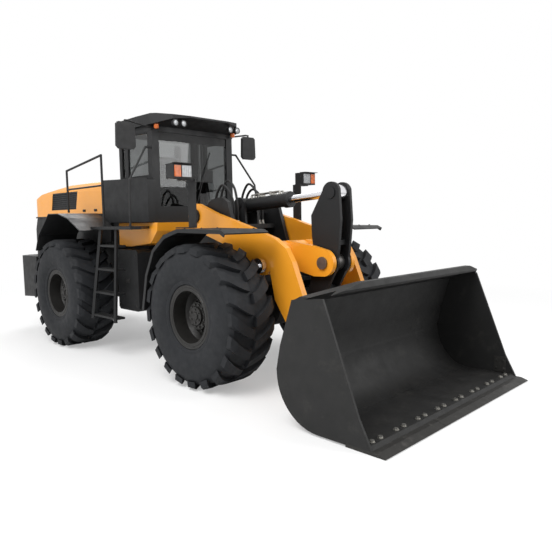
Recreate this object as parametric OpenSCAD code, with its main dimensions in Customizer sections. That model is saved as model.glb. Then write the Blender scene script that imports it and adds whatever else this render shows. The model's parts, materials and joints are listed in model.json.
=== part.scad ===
// Articulated wheel loader with a Z-bar bucket linkage, straight and parked.
// Millimetres. +X points forward, +Y to the machine's left, +Z up.
// Positions in the drawing count from the articulation joint on the ground plane.
// The whole machine is then moved so that the origin is the bounding box bottom centre.

/* [Wheels] */
// Distance between the axles
wheelbase = 3550; // [3400:10:3700]
// Distance between the tyre centres across an axle
tread = 2280; // [2240:10:2320]
// Tyre diameter over the lug tips
tyre_d = 1750; // [1700:10:1780]
// Tyre section width
tyre_w = 675; // [640:5:690]
// Rim flange diameter
flange_d = 770; // [740:5:800]
// Lugs on each side of a tyre
lugs = 20; // [18:1:24]
// Lug height over the tread base
lug_h = 55; // [40:5:60]
// Angle by which a lug's outer end trails its inner end
lug_sweep = 13; // [6:1:18]

/* [Bucket] */
// Bucket width over the side plates
bucket_w = 3092; // [3040:4:3140]
// Bucket shell thickness
bucket_t = 25; // [20:1:30]
// Cutting edge thickness
edge_t = 36; // [30:1:40]

/* [Linkage] */
// Boom arm thickness
arm_t = 80; // [60:5:90]
// Boom arm inner face from the centre plane
arm_y = 540; // [530:5:550]
// Boom pivot pin radius
boom_pin_r = 55; // [45:1:60]
// Radius of the pins at the foot of the lift cylinders
lift_pin_r = 45; // [35:1:50]
// Bucket hinge pin radius
bucket_pin_r = 45; // [40:1:50]
// Lever pin radius
lever_pin_r = 50; // [40:1:55]
// Lower link pin radius
link_pin_r = 50; // [45:1:55]
// Tilt cylinder barrel radius
tilt_r = 90; // [80:1:95]
// Lift cylinder barrel radius
lift_r = 80; // [70:1:82]

/* [Body] */
// Cab width
cab_w = 1520; // [1480:10:1540]
// Roof height above the ground
roof_z = 3550; // [3520:5:3580]
// Articulation pin radius
pivot_r = 55; // [45:1:60]
// Counterweight width
weight_w = 2160; // [2100:10:2200]

/* [Fits] */
// Radial clearance of a running fit
run_fit = 0.05; // [0.02:0.01:0.1]
// Gap between pieces that are seated on each other
seat_gap = 0.3; // [0.1:0.1:0.5]

/* [Hidden] */
$fn = 40;
bucket_tip_x = 4630;
tail_x = -4250;
hitch_r = 30;
hitch_x = -4195;
eye_r = 28;
eye_p = [640, 700];
datum_x = -(bucket_tip_x + tail_x) / 2;
tread_turn = 270 - 0.52 * 360 / lugs - lug_sweep * pow(0.73, 1.35);
tyre_r = tyre_d / 2;
axle_z = tyre_r;
axle_x = wheelbase / 2;
tyre_y = tread / 2;
seat_r = flange_d / 2 - 52;
hub_in = -130;
spindle_r = 110;
boom_p = [920, 2080];
lever_b = [2840, 1488];
pin_a = [3126, 367];
pin_t = [2898, 2325];
pin_l = [2561, 820];
pin_e = [3186, 600];
tilt_c = [1270, 2220];
lift_f = [800, 850];
lift_g = [2230, 1460];
lift_y = 685;
steer_s = [-490, 380];
steer_e = [500, 360];
steer_z = 1180;
tube_c = [2200, 1600];
hood_hinge = [-1210, 2660];
cab_h = cab_w / 2;
weight_h = weight_w / 2;
hood_h = 780;
bucket_h = bucket_w / 2;

// Helpers: points on an arc, and extrusions from a side view or a top view.
function arc(c, r, a0, a1, n) = [for (i = [0:n])
    [c[0] + r * cos(a0 + (a1 - a0) * i / n), c[1] + r * sin(a0 + (a1 - a0) * i / n)]];

module placed() {
    translate([datum_x, 0, 0]) children();
}

module slab_y(y0, y1) {
    translate([0, max(y0, y1), 0]) rotate([90, 0, 0]) linear_extrude(height = abs(y1 - y0)) children();
}

module cyl_y(p, r, y0, y1) {
    translate([p[0], max(y0, y1), p[1]]) rotate([90, 0, 0]) cylinder(r = r, h = abs(y1 - y0));
}

module box(a, b) {
    translate(a) cube([b[0] - a[0], b[1] - a[1], b[2] - a[2]]);
}

module rod(a, b, r) {
    d = b - a;
    len = norm(d);
    translate(a) rotate([0, acos(d[2] / len), atan2(d[1], d[0])]) cylinder(r = r, h = len, $fn = 16);
}

module bar(a, b, w, t) {
    d = b - a;
    len = norm(d);
    translate(a) rotate([0, acos(d[2] / len), atan2(d[1], d[0])]) translate([-w / 2, -t / 2, 0]) cube([w, t, len]);
}

module path(pts, r) {
    for (i = [0:len(pts) - 2]) {
        rod(pts[i], pts[i + 1], r);
    }
    for (i = [1:len(pts) - 2]) {
        translate(pts[i]) sphere(r = r * 1.06, $fn = 24);
    }
}

// Wheels
// A tyre is one closed skin: rings of points round the axis, joined in order.
// Tread rings have four points to a lug, two on its top and two at its foot.
function lug_lean(y) = lug_sweep * pow(abs(y) / (tyre_w / 2), 1.35);

function tread_ring(y, r, s) = [for (k = [0:4 * lugs - 1])
    let (a = tread_turn + lug_lean(y) + (floor(k / 4) + [0, 0.04, 0.5, 0.54][k % 4]) * 360 / lugs,
        q = (s > 0) == (k % 4 == 1 || k % 4 == 2) ? r : r - lug_h)
    [q * cos(a), q * sin(a), y]];

function plain_ring(y, r) = [for (k = [0:lugs - 1])
    let (a = tread_turn + lug_sweep + k * 360 / lugs) [r * cos(a), r * sin(a), y]];

function strip(a, b, n) = [for (k = [0:n - 1]) let (j = (k + 1) % n)
    each [[a + k, b + k, a + j], [a + j, b + k, b + j]]];

function fan(a, b, n, flip) = [for (k = [0:n - 1]) let (j = (k + 1) % n, m = 4 * k,
    t = [[a + m, b + k, a + m + 1], [a + m + 1, b + k, a + m + 2], [a + m + 2, b + k, b + j],
        [a + m + 2, b + j, a + m + 3], [a + m + 3, b + j, a + (m + 4) % (4 * n)]])
    each [for (v = t) flip ? [v[0], v[2], v[1]] : v]];

module tyre(x, s) {
    w = tyre_w / 2;
    bead = w * 0.84 - 14 - seat_gap;
    grow = 1 / cos(180 / lugs);
    sides = [[w * 0.995, tyre_r - 190], [w, tyre_r - 300], [w * 0.89, flange_d / 2 * grow + 16],
        [bead, flange_d / 2 * grow + 3], [bead, (seat_r + seat_gap) * grow]];
    tread_r = [[w * 0.94, tyre_r - 22], [w * 0.73, tyre_r], [14, tyre_r]];
    points = concat(
        [for (q = tread_r) each tread_ring(q[0], q[1], 1)],
        [for (i = [2:-1:0]) each tread_ring(-tread_r[i][0], tread_r[i][1], -1)],
        [for (q = sides) each plain_ring(-q[0], q[1])],
        [for (i = [4:-1:0]) each plain_ring(sides[i][0], sides[i][1])]);
    big = 4 * lugs;
    small = 6 * big;
    faces = concat(
        [for (i = [0:4]) each strip(i * big, (i + 1) * big, big)],
        fan(5 * big, small, lugs, false),
        [for (i = [0:8]) each strip(small + i * lugs, small + (i + 1) * lugs, lugs)],
        fan(0, small + 9 * lugs, lugs, true));
    placed() color([0.05, 0.05, 0.06])
        translate([x, s * tyre_y, axle_z]) rotate([90, 0, 0]) polyhedron(points = points, faces = faces);
}

module rim(x, s) {
    f = flange_d / 2;
    w = tyre_w / 2;
    placed() color([0.2, 0.19, 0.17])
        translate([x, s * tyre_y, axle_z]) rotate([90, 0, s > 0 ? 180 : 0])
            difference() {
                union() {
                    rotate_extrude($fn = 64)
                        polygon([[seat_r - 16, -w * 0.84], [f, -w * 0.84], [f, -w * 0.84 + 14], [seat_r, -w * 0.84 + 14],
                            [seat_r, w * 0.84 - 14], [f, w * 0.84 - 14], [f, w * 0.84], [seat_r - 16, w * 0.84],
                            [seat_r - 16, w * 0.1 + 60], [seat_r - 60, w * 0.1], [230, w * 0.1], [230, w * 0.1 - 24],
                            [seat_r - 50, w * 0.1 - 24], [seat_r - 16, w * 0.1 - 60]]);
                    translate([0, 0, hub_in]) cylinder(r = 232, h = 130 + w * 0.1 + 20, $fn = 64);
                    cylinder(r = 165, h = 150);
                    cylinder(r = 110, h = 185);
                }
                translate([0, 0, hub_in - 1]) cylinder(r = spindle_r + run_fit, h = 157, $fn = 48);
            }
}

module axle(x) {
    end_y = tyre_y + hub_in - 10;
    translate([x, 0, axle_z]) rotate([90, 0, 0]) {
        for (s = [-1, 1]) {
            rotate([0, s > 0 ? 0 : 180, 0]) {
                cylinder(r1 = 190, r2 = 150, h = end_y - 120, $fn = 48);
                translate([0, 0, end_y - 120]) cylinder(r = 210, h = 120, $fn = 48);
                cylinder(r = spindle_r, h = end_y + 160, $fn = 48);
            }
        }
        translate([0, 0, -150]) cylinder(r = 290, h = 300, $fn = 48);
    }
}

module rear_axle() {
    placed() color([0.12, 0.12, 0.13]) {
        axle(-axle_x);
        for (s = [-1, 1]) {
            box([-axle_x - 150, s * 420 - 60, axle_z + 120], [-axle_x + 150, s * 420 + 60, 1180]);
        }
        rod([-axle_x + 200, 0, axle_z], [-axle_x + 420, 0, axle_z + 10], 120);
    }
}

module front_axle() {
    placed() color([0.12, 0.12, 0.13]) {
        axle(axle_x);
        for (s = [-1, 1]) {
            box([axle_x - 150, s * 390 - 50, axle_z + 120], [axle_x + 150, s * 390 + 50, 1180]);
        }
        rod([axle_x - 200, 0, axle_z], [axle_x - 420, 0, axle_z + 10], 120);
    }
}

// Rear frame and body
module rear_frame() {
    placed() color([0.1, 0.1, 0.11]) {
        difference() {
            union() {
                for (s = [-1, 1]) {
                    slab_y(s * 400, s * 440)
                        polygon([[-560, 1640], [-560, 640], [-900, 640], [-1250, 1180], [-2350, 1180], [-3000, 900],
                            [-4000, 900], [-4000, 1560], [-1500, 1640]]);
                }
                box([-600, -400, 640], [-560, 400, 1640]);
                box([-1300, -400, 1300], [-1260, 400, 1600]);
                box([-2600, -400, 1140], [-2560, 400, 1540]);
                box([-4000, -400, 900], [-3960, 400, 1560]);
                for (z = [700, 1500]) {
                    translate([0, 0, z]) linear_extrude(height = 100)
                        polygon(concat(arc([0, 0], 140, 70, -70, 16), [[-560, -330], [-560, 330]]));
                }
                for (s = [-1, 1]) {
                    for (z = [steer_z - 90, steer_z + 60]) {
                        box([-561, min(s * 330, s * 430), z], [steer_s[0] + 45, max(s * 330, s * 430), z + 30]);
                    }
                }
            }
            translate([0, 0, 699]) cylinder(r = pivot_r + run_fit, h = 102, $fn = 48);
            translate([0, 0, 1499]) cylinder(r = pivot_r + run_fit, h = 102, $fn = 48);
        }
        for (s = [-1, 1]) {
            translate([steer_s[0], s * steer_s[1], steer_z - 90]) cylinder(r = 25, h = 180, $fn = 32);
        }
    }
}

module counterweight() {
    placed() color([0.13, 0.13, 0.14])
        difference() {
            intersection() {
                slab_y(-weight_h, weight_h)
                    polygon([[-3400, 900], [-3480, 640], [-4100, 600], [tail_x + 10, 720], [tail_x, 1330], [-4200, 1400], [-3400, 1400]]);
                translate([0, 0, 500]) linear_extrude(height = 1100)
                    polygon([[-3300, -weight_h], [-4050, -weight_h], [tail_x, -weight_h + 260],
                        [tail_x, weight_h - 260], [-4050, weight_h], [-3300, weight_h]]);
            }
            box([-4000.3, -440.3, 500], [-3300, 440.3, 1500]);
            difference() {
                box([tail_x - 10, -120, 740], [-4050, 120, 1500]);
                for (z = [820, 930]) {
                    difference() {
                        box([tail_x - 20, -121, z], [-4040, 121, z + 40]);
                        translate([hitch_x, 0, z - 1]) cylinder(r = hitch_r, h = 42, $fn = 32);
                    }
                }
            }
        }
}

module engine_block() {
    placed() color([0.25, 0.25, 0.26]) box([-3500, -399, 1540 + seat_gap], [-1700, 399, 2300]);
}

module cooling_box() {
    placed() color([0.08, 0.08, 0.09]) {
        box([-1180, -700, 1640 + seat_gap], [-830, 700, 2690]);
        for (s = [-1, 1]) {
            for (y = [[270, 285], [335, 350]]) {
                box([-1228, min(s * y[0], s * y[1]), 2640], [-1179, max(s * y[0], s * y[1]), 2680]);
            }
            cyl_y(hood_hinge, 10, s * 271, s * 349);
        }
    }
}

module rear_body() {
    placed() color([0.1, 0.1, 0.11])
        difference() {
            union() {
                for (s = [-1, 1]) {
                    slab_y(s * 441, s * 740)
                        polygon([[-1200, 1700], [-1200, 2140 - seat_gap], [-4050, 2140 - seat_gap], [-4150, 1900], [-4150, 1400 + seat_gap], [-2500, 1450]]);
                }
                box([-4150, -441, 1561], [-4050, 441, 2120]);
                for (s = [-1, 1]) {
                    box([-4040, min(s * 735, s * 778), 2114], [-1245, max(s * 735, s * 778), 2140 - seat_gap]);
                }
            }
            for (s = [-1, 1]) {
                slab_y(s * 430, s * 716)
                    polygon([[-1230, 1740], [-1230, 2140], [-4040, 2140], [-4100, 1900], [-4100, 1430], [-2500, 1480]]);
            }
        }
}

module cab_deck() {
    placed() color([0.95, 0.55, 0.08])
        slab_y(-800, 800)
            polygon([[-830 + seat_gap, 2000 - seat_gap], [250, 2000 - seat_gap], [230, 1880], [60, 1700], [-480, 1640 + seat_gap], [-830 + seat_gap, 1640 + seat_gap]]);
}

module side_covers() {
    placed() color([0.1, 0.1, 0.11]) {
        slab_y(-880, -cab_h - seat_gap)
            polygon(concat([[-1140, 2010], [150, 2010], [150, 2600]], arc([110, 2600], 40, 0, 90, 4), [[-1140, 2680]]));
        slab_y(880, cab_h + seat_gap)
            polygon([[-1140, 2010], [-700, 2010], [-700, 2660], [-1140, 2680]]);
        for (s = [-1, 1]) {
            slab_y(s * 700, s * 950)
                polygon([[-660, 720], [-620, 680], [-120, 680], [-80, 720], [-80, 1560], [-120, 1600], [-620, 1600], [-660, 1560]]);
            box([-660, min(s * 440.3, s * 701), 800], [-580, max(s * 440.3, s * 701), 1000]);
        }
    }
}

// Cab
module cab_shell() {
    placed() color([0.09, 0.09, 0.1]) {
        difference() {
            box([-800, -cab_h, 2000], [120, cab_h, 3400]);
            box([-750, -cab_h + 50, 2060], [70, cab_h - 50, 3350]);
            box([60, -640, 2240], [130, 640, 3320]);
            box([-560, -cab_h - 10, 2680], [20, -cab_h + 60, 3320]);
            box([-740, -cab_h - 10, 2680], [-620, -cab_h + 60, 3320]);
            box([-740, cab_h - 60, 2680], [-660, cab_h + 10, 3320]);
            box([-810, -600, 2700], [-740, 600, 3320]);
            box([-600, cab_h - 60, 2080], [40, cab_h + 10, 3340]);
        }
        for (z = [2300, 3000]) {
            box([-660, cab_h - 1, z - 60], [-620, cab_h + 50, z - 30]);
            box([-660, cab_h - 1, z + 30], [-620, cab_h + 50, z + 60]);
            translate([-640, cab_h + 34, z - 60]) cylinder(r = 8, h = 120, $fn = 24);
        }
    }
}

module cab_glass() {
    placed() color([0.3, 0.35, 0.38, 0.5]) {
        box([88, -639.7, 2240.3], [100, 639.7, 3319.7]);
        box([-559.7, -cab_h + 20, 2680.3], [19.7, -cab_h + 32, 3319.7]);
        box([-739.7, -cab_h + 20, 2680.3], [-620.3, -cab_h + 32, 3319.7]);
        box([-739.7, cab_h - 32, 2680.3], [-660.3, cab_h - 20, 3319.7]);
        box([-782, -599.7, 2700.3], [-770, 599.7, 3319.7]);
    }
}

module cab_roof() {
    placed() color([0.09, 0.09, 0.1])
        intersection() {
            slab_y(-810, 810)
                polygon([[-900, 3400.3], [-900, 3470], [-640, roof_z - 10], [-200, roof_z], [250, roof_z], [520, 3515],
                    [520, 3490], [180, 3400.3]]);
            translate([0, 0, 3300]) linear_extrude(height = 300)
                polygon([[-900, -660], [-800, -810], [180, -810], [430, -600], [520, -350],
                    [520, 350], [430, 600], [180, 810], [-800, 810], [-900, 660]]);
        }
}

module cab_door() {
    placed() color([0.09, 0.09, 0.1]) {
        difference() {
            box([-594, cab_h - 46, 2086], [34, cab_h - 4, 3334]);
            box([-530, cab_h - 60, 2260], [-30, cab_h + 10, 3280]);
        }
        for (z = [2300, 3000]) {
            difference() {
                union() {
                    box([-640, cab_h + 22, z - 26], [-560, cab_h + 46, z + 26]);
                    box([-590, cab_h - 10, z - 26], [-560, cab_h + 46, z + 26]);
                    translate([-640, cab_h + 34, z - 26]) cylinder(r = 18, h = 52, $fn = 24);
                }
                translate([-640, cab_h + 34, z - 40]) cylinder(r = 8 + run_fit, h = 80, $fn = 24);
            }
        }
        rod([-10, cab_h + 20, 2700], [-10, cab_h + 20, 2860], 9);
        for (z = [2710, 2850]) {
            rod([-10, cab_h - 5, z], [-10, cab_h + 20, z], 9);
        }
    }
}

module door_glass() {
    placed() color([0.3, 0.35, 0.38, 0.5]) box([-529.7, cab_h - 32, 2260.3], [-30.3, cab_h - 20, 3279.7]);
}

module operator_seat() {
    placed() color([0.15, 0.15, 0.16]) {
        box([-560, -170, 2060], [-220, 170, 2300]);
        box([-620, -240, 2300], [-110, 240, 2420]);
        slab_y(-230, 230) polygon([[-620, 2410], [-500, 2410], [-600, 3050], [-700, 3050]]);
    }
}

module steering_console() {
    placed() color([0.08, 0.08, 0.09]) {
        slab_y(-90, 90) polygon([[-60, 2060], [60, 2060], [40, 2500], [-60, 2620], [-100, 2600], [-40, 2440]]);
        translate([-95, 0, 2650]) rotate([0, -35, 0]) rotate_extrude($fn = 32) translate([180, 0]) circle(r = 14, $fn = 12);
        translate([-95, 0, 2650]) rotate([0, -35, 0]) translate([-180, -12, -8]) cube([360, 24, 16]);
        rod([-60, 0, 2580], [-97, 0, 2652], 22);
    }
}

// Access, rails and lights on the rear half
module access_steps() {
    placed() color([0.1, 0.1, 0.11])
        for (s = [-1, 1]) {
            translate([0, 0, 1910]) linear_extrude(height = 40)
                polygon([[-850, s * 800.3], [30, s * 800.3], [195, s * 985], [290, s * 1100], [290, s * 1270], [-850, s * 1270]]);
            for (x = [[-810, -640], [-140, -180]]) {
                bar([x[0], s * 1318, 560], [x[1], s * 1215, 1920], 44, 36);
            }
            for (i = [0:3]) {
                z = 600 + i * 350;
                k = (z - 560) / 1360;
                box([-815 + 170 * k, min(s * (1165 - 103 * k), s * (1322 - 103 * k)), z],
                    [-135 - 40 * k, max(s * (1165 - 103 * k), s * (1322 - 103 * k)), z + 30]);
            }
        }
}

module rear_fenders() {
    placed() color([0.1, 0.1, 0.11])
        for (s = [-1, 1]) difference() {
            union() {
                slab_y(s * 800.3, s * 1480)
                    polygon([[-780, 1900], [-1080, 2045], [-1180, 2090], [-1500, 2165], [-1850, 2165], [-2280, 1830], [-2420, 1560],
                        [-2400, 1555], [-2262, 1816], [-1842, 2151], [-1502, 2151], [-1186, 2077], [-1086, 2032], [-786, 1886]]);
                box([-1900, min(s * 740.3, s * 810), 2060], [-1210, max(s * 740.3, s * 810), 2110]);
                box([-1900, min(s * 800.3, s * 812), 2060], [-1210, max(s * 800.3, s * 812), 2160]);
            }
            box([-1140.3, min(s * 700, s * 880.3), 1800], [-700, max(s * 700, s * 880.3), 2300]);
            box([-850.3, min(s * 700, s * 1270.3), 1800], [-700, max(s * 700, s * 1270.3), 2300]);
        }
}

module handrails() {
    placed() color([0.1, 0.1, 0.11])
        for (s = [-1, 1]) {
            path([[-1700, s * 1200, 2180], [-1700, s * 1200, 2850], [-560, s * 1200, 3000], [-560, s * 1200, 1950]], 17);
            rod([-1700, s * 1200, 2550], [-560, s * 1200, 2560], 14);
            path([[100, s * (cab_h + seat_gap), 3080], [100, s * 860, 3080], [190, s * 1190, 2600], [230, s * 1230, 2100],
                [230, s * 1230, 1950.3]], 15);
        }
}

module mirrors() {
    placed() color([0.08, 0.08, 0.09])
        for (s = [-1, 1]) {
            box([80, min(s * (cab_h + seat_gap), s * (cab_h + 15)), 3335], [120, max(s * (cab_h + seat_gap), s * (cab_h + 15)), 3392]);
            path([[100, s * (cab_h + 8), 3365], [85, s * 1100, 3425], [80, s * 1160, 3425], [80, s * 1160, 3380]], 13);
            rotate([90, 0, 90]) translate([0, 0, 55]) linear_extrude(height = 45)
                polygon([for (v = [[1010, 3070], [1050, 3030], [1270, 3030], [1310, 3070], [1300, 3370], [1270, 3400], [1050, 3400], [1020, 3370]])
                    [s * v[0], v[1]]]);
        }
}

module exhaust_stack() {
    placed() color([0.2, 0.2, 0.21]) {
        translate([-1000, 480, 2690]) cylinder(r = 80, h = 300);
        difference() {
            translate([-1000, 480, 2990]) cylinder(r = 60, h = 320);
            translate([-1000, 480, 3010]) cylinder(r = 52, h = 400);
            translate([-1000, 480, 3290]) rotate([0, 25, 0]) translate([-200, -100, 0]) cube([400, 200, 200]);
        }
    }
}

module work_lights() {
    placed() color([0.1, 0.1, 0.11])
        for (s = [-1, 1]) {
            for (y = [440, 580]) {
                translate([395, s * y, 3405]) rotate([0, 90, 0]) cylinder(r1 = 30, r2 = 45, h = 30, $fn = 32);
                translate([425, s * y, 3405]) rotate([0, 90, 0]) cylinder(r = 45, h = 40, $fn = 32);
                box([415, s * y - 12, 3440], [435, s * y + 12, 3462]);
            }
            box([-940, s * 560 - 55, 3405], [-900.3, s * 560 + 55, 3465]);
        }
}

module hood_profile(g, front) {
    polygon([[front, 2140 - g], [front, 2700 - g], [-2600, 2680 - g], [-3700 + g, 2560 - g],
        [-4080 + g, 2440 - g], [-4120 + g, 2140 - g]]);
}

module hood_front(g) {
    half = [[hood_h - g, 2100], [hood_h - g, 2545], [hood_h - 8 - g, 2590], [hood_h - 30 - g, 2632 - g / 2],
        [hood_h - 75 - g, 2680 - g], [hood_h - 130 - g, 2701 - g]];
    polygon(concat(half, [for (i = [5:-1:0]) [-half[i][0], half[i][1]]]));
}

module hood_block(g, front) {
    intersection() {
        slab_y(-hood_h + g, hood_h - g) hood_profile(g, front);
        rotate([90, 0, 90]) translate([0, 0, -4200]) linear_extrude(height = 3300) hood_front(g);
        translate([0, 0, 2000]) linear_extrude(height = 800)
            polygon(concat([[-900, -hood_h], [-900, hood_h]], arc([-3920, hood_h - 200], 200 - g, 90, 180, 10),
                arc([-3920, -hood_h + 200], 200 - g, 180, 270, 10)));
    }
}

module side_window(g) {
    polygon([[-3300 + g, 2250 + g], [-2300 - g, 2250 + g], [-2220 - g, 2560 - g], [-3220 + g, 2560 - g]]);
}

module hood() {
    placed() color([0.95, 0.55, 0.08])
        difference() {
            union() {
                difference() {
                    hood_block(0, -1240);
                    hood_block(22, -1100);
                    slab_y(-900, 900) side_window(0);
                    box([-4200, -480, 2190], [-4000, 480, 2400]);
                }
                for (s = [-1, 1]) {
                    box([-1275, min(s * 291, s * 329), 2644], [-1210, max(s * 291, s * 329), 2679]);
                    cyl_y(hood_hinge, 18, s * 291, s * 329);
                }
            }
            cyl_y(hood_hinge, 10 + run_fit, -400, 400);
        }
}

module hood_grilles() {
    placed() color([0.06, 0.06, 0.07]) {
        for (s = [-1, 1]) {
            difference() {
                slab_y(s * (hood_h - 20), s * (hood_h - 4)) side_window(seat_gap);
                for (i = [0:7]) {
                    slab_y(s * (hood_h - 30), s * (hood_h + 10))
                        polygon([[-3278 + i * 9, 2264 + i * 36], [-2322 + i * 9, 2264 + i * 36], [-2318 + i * 9, 2282 + i * 36], [-3274 + i * 9, 2282 + i * 36]]);
                }
            }
        }
        difference() {
            slab_y(-480 + seat_gap, 480 - seat_gap)
                polygon([[-4109, 2190 + seat_gap], [-4081, 2400 - seat_gap], [-4065, 2400 - seat_gap], [-4093, 2190 + seat_gap]]);
            for (i = [-6:6]) {
                box([-4200, i * 70 - 22, 2206], [-4000, i * 70 + 22, 2384]);
            }
        }
    }
}

// Front frame
module front_frame() {
    placed() color([0.1, 0.1, 0.11]) {
        difference() {
            union() {
                for (s = [-1, 1]) {
                    slab_y(s * 440, s * 500)
                        polygon(concat([[450, 620], [900, 560], [1300, 700], [1500, 1180], [2050, 1180], [2050, 1290],
                            [1700, 1500], [1450, 2260], [1330, 2330], [1120, 2300]],
                            arc(boom_p, 140, 60, 200, 10), [[700, 1740], [600, 1660], [450, 1650]]));
                    for (z = [steer_z - 90, steer_z + 60]) {
                        box([400, min(s * 280, s * 441), z], [560, max(s * 280, s * 441), z + 30]);
                    }
                }
                box([1150, -441, 1500], [1210, 441, 2120]);
                box([1150, -441, 1180], [2050, 441, 1230]);
                box([1210, -441, 1900], [1400, 441, 1960]);
                box([450, -441, 620], [490, 441, 860]);
                box([450, -441, 1440], [490, 441, 1650]);
                for (s = [-1, 1]) {
                    slab_y(s * 100, s * 135)
                        polygon(concat(arc(tilt_c, 110, 150, 0, 12), [[1400, 1950], [1160, 1950]]));
                }
                for (z = [[640, 690], [810, 860], [1440, 1490], [1610, 1660]]) {
                    translate([0, 0, z[0]]) linear_extrude(height = z[1] - z[0])
                        polygon(concat(arc([0, 0], 140, 110, 250, 16), [[470, -330], [470, 330]]));
                }
            }
            for (s = [-1, 1]) {
                cyl_y(eye_p, eye_r, s * 430, s * 510);
                cyl_y(boom_p, boom_pin_r + seat_gap, s * 430, s * 510);
                cyl_y(lift_f, lift_pin_r + seat_gap, s * 430, s * 510);
            }
        }
        for (z = [[630, 870], [1430, 1670]]) {
            translate([0, 0, z[0]]) cylinder(r = pivot_r, h = z[1] - z[0], $fn = 48);
        }
        cyl_y(tilt_c, 45, -150, 150);
        for (s = [-1, 1]) {
            translate([steer_e[0], s * steer_e[1], steer_z - 104]) cylinder(r = 25, h = 42, $fn = 32);
            translate([steer_e[0], s * steer_e[1], steer_z + 62]) cylinder(r = 25, h = 42, $fn = 32);
        }
    }
}

module frame_pins() {
    placed() color([0.12, 0.12, 0.13])
        for (s = [-1, 1]) {
            cyl_y(boom_p, boom_pin_r, s * 430, s * (arm_y + arm_t + 30));
            cyl_y(boom_p, 95, s * (arm_y + arm_t + 5), s * (arm_y + arm_t + 30));
            cyl_y(lift_f, lift_pin_r, s * 430, s * (lift_y + 50));
            cyl_y(lift_f, 70, s * (lift_y + 35), s * (lift_y + 50));
            cyl_y(lift_f, 90, s * (500 + seat_gap), s * (lift_y - 36));
        }
}

module front_fenders() {
    outer = [[845, 880], [955, 1340], [1130, 1660], [1390, 1850], [1680, 1925], [2470, 1912], [2545, 1875]];
    inner = [[2540, 1861], [2466, 1898], [1682, 1911], [1397, 1837], [1141, 1652], [968, 1335], [859, 877]];
    lip = [[2520, 1835], [2456, 1868], [1686, 1880], [1412, 1808], [1164, 1634], [998, 1326], [889, 871]];
    placed() color([0.1, 0.1, 0.11])
        for (s = [-1, 1]) {
            slab_y(s * 820, s * 1480) polygon(concat(outer, inner));
            slab_y(s * 1468, s * 1480) polygon(concat(outer, lip));
            rod([815, s * 500.3, 1400], [815, s * 860, 1400], 36);
            box([800, min(s * 822, s * 880), 1375], [985, max(s * 822, s * 880), 1425]);
        }
}

module front_lamps() {
    placed() color([0.08, 0.08, 0.09])
        for (s = [-1, 1]) {
            box([1260, min(s * 985, s * 997), 1950], [1420, max(s * 985, s * 997), 2540]);
            box([1260, min(s * 985, s * 1200), 1925.3], [1420, max(s * 985, s * 1200), 1937]);
            box([1260, min(s * 985, s * 997), 1925.3], [1420, max(s * 985, s * 997), 1955]);
            box([1300, min(s * 985, s * 1180), 2520], [1400, max(s * 985, s * 1180), 2545]);
            box([1260, s * 1180 - 140, 2540], [1420, s * 1180 + 140, 2720]);
        }
}

// Boom and bucket linkage
module arm_outline() {
    polygon(concat(arc(boom_p, 170, 255, 75, 18), [[1340, 2110], [2010, 1925], [2440, 1790], [2620, 1680], [2720, 1520], [2900, 1090]],
        arc(pin_a, 125, 28, -150, 18), [[2690, 680], [2430, 1050]], arc(lift_g, 125, -20, -160, 10), [[1910, 1580], [1130, 1820]]));
}

module boom() {
    placed() color([0.95, 0.55, 0.08])
        difference() {
            union() {
                for (s = [-1, 1]) {
                    slab_y(s * arm_y, s * (arm_y + arm_t)) arm_outline();
                    slab_y(s * 150, s * 210)
                        polygon(concat([[2250, 1750], [2700, 1690]], arc(lever_b, 165, 70, -80, 14), [[2700, 1320], [2330, 1400], [2100, 1560], [2120, 1720]]));
                }
                cyl_y(tube_c, 145, -arm_y - 10, arm_y + 10);
            }
            for (s = [-1, 1]) {
                cyl_y(boom_p, boom_pin_r + run_fit, s * 500, s * 700);
                cyl_y(pin_a, bucket_pin_r + run_fit, s * 500, s * 700);
            }
            cyl_y(lever_b, lever_pin_r + run_fit, -300, 300);
        }
}

module lever_pin() {
    placed() color([0.4, 0.4, 0.42]) {
        cyl_y(lever_b, lever_pin_r, -235, 235);
        cyl_y(lever_b, 105, -84.5, 84.5);
        for (s = [-1, 1]) {
            cyl_y(lever_b, 75, s * 216, s * 235);
        }
    }
}

module tilt_lever() {
    placed() color([0.11, 0.11, 0.12])
        difference() {
            union() {
                for (s = [-1, 1]) {
                    slab_y(s * 85, s * 125)
                        polygon(concat(arc(pin_t, 130, 170, 20, 12), [[3045, 2000], [3010, 1640]], arc(lever_b, 165, 20, -50, 6),
                            [[2700, 900]], arc(pin_l, 110, 10, -170, 12), [[2560, 1200], [2640, 1560], [2600, 1800], [2590, 2060]]));
                }
                for (s = [-1, 1]) {
                    cyl_y(lever_b, 110, s * 120, s * 140);
                    cyl_y(pin_t, 70, s * 120, s * 140);
                }
                box([2680, -86, 1700], [2960, 86, 1760]);
                box([2620, -86, 1140], [2800, 86, 1200]);
            }
            cyl_y(lever_b, lever_pin_r + run_fit, -300, 300);
            cyl_y(pin_l, link_pin_r + run_fit, -300, 300);
        }
}

module link_pin() {
    placed() color([0.4, 0.4, 0.42]) {
        cyl_y(pin_l, link_pin_r, -150, 150);
        for (s = [-1, 1]) {
            cyl_y(pin_l, 75, s * 131, s * 150);
        }
    }
}

module tilt_link() {
    d = pin_e - pin_l;
    placed() color([0.11, 0.11, 0.12])
        difference() {
            union() {
                cyl_y(pin_l, 90, -75, 75);
                cyl_y(pin_e, 64, -75, 75);
                cyl_y(pin_e, 40, -79, 79);
                translate([pin_l[0], -45, pin_l[1]]) rotate([0, -atan2(d[1], d[0]), 0])
                    translate([20, 0, -60]) cube([norm(d) - 40, 90, 120]);
            }
            cyl_y(pin_l, link_pin_r + run_fit, -300, 300);
        }
}

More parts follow.
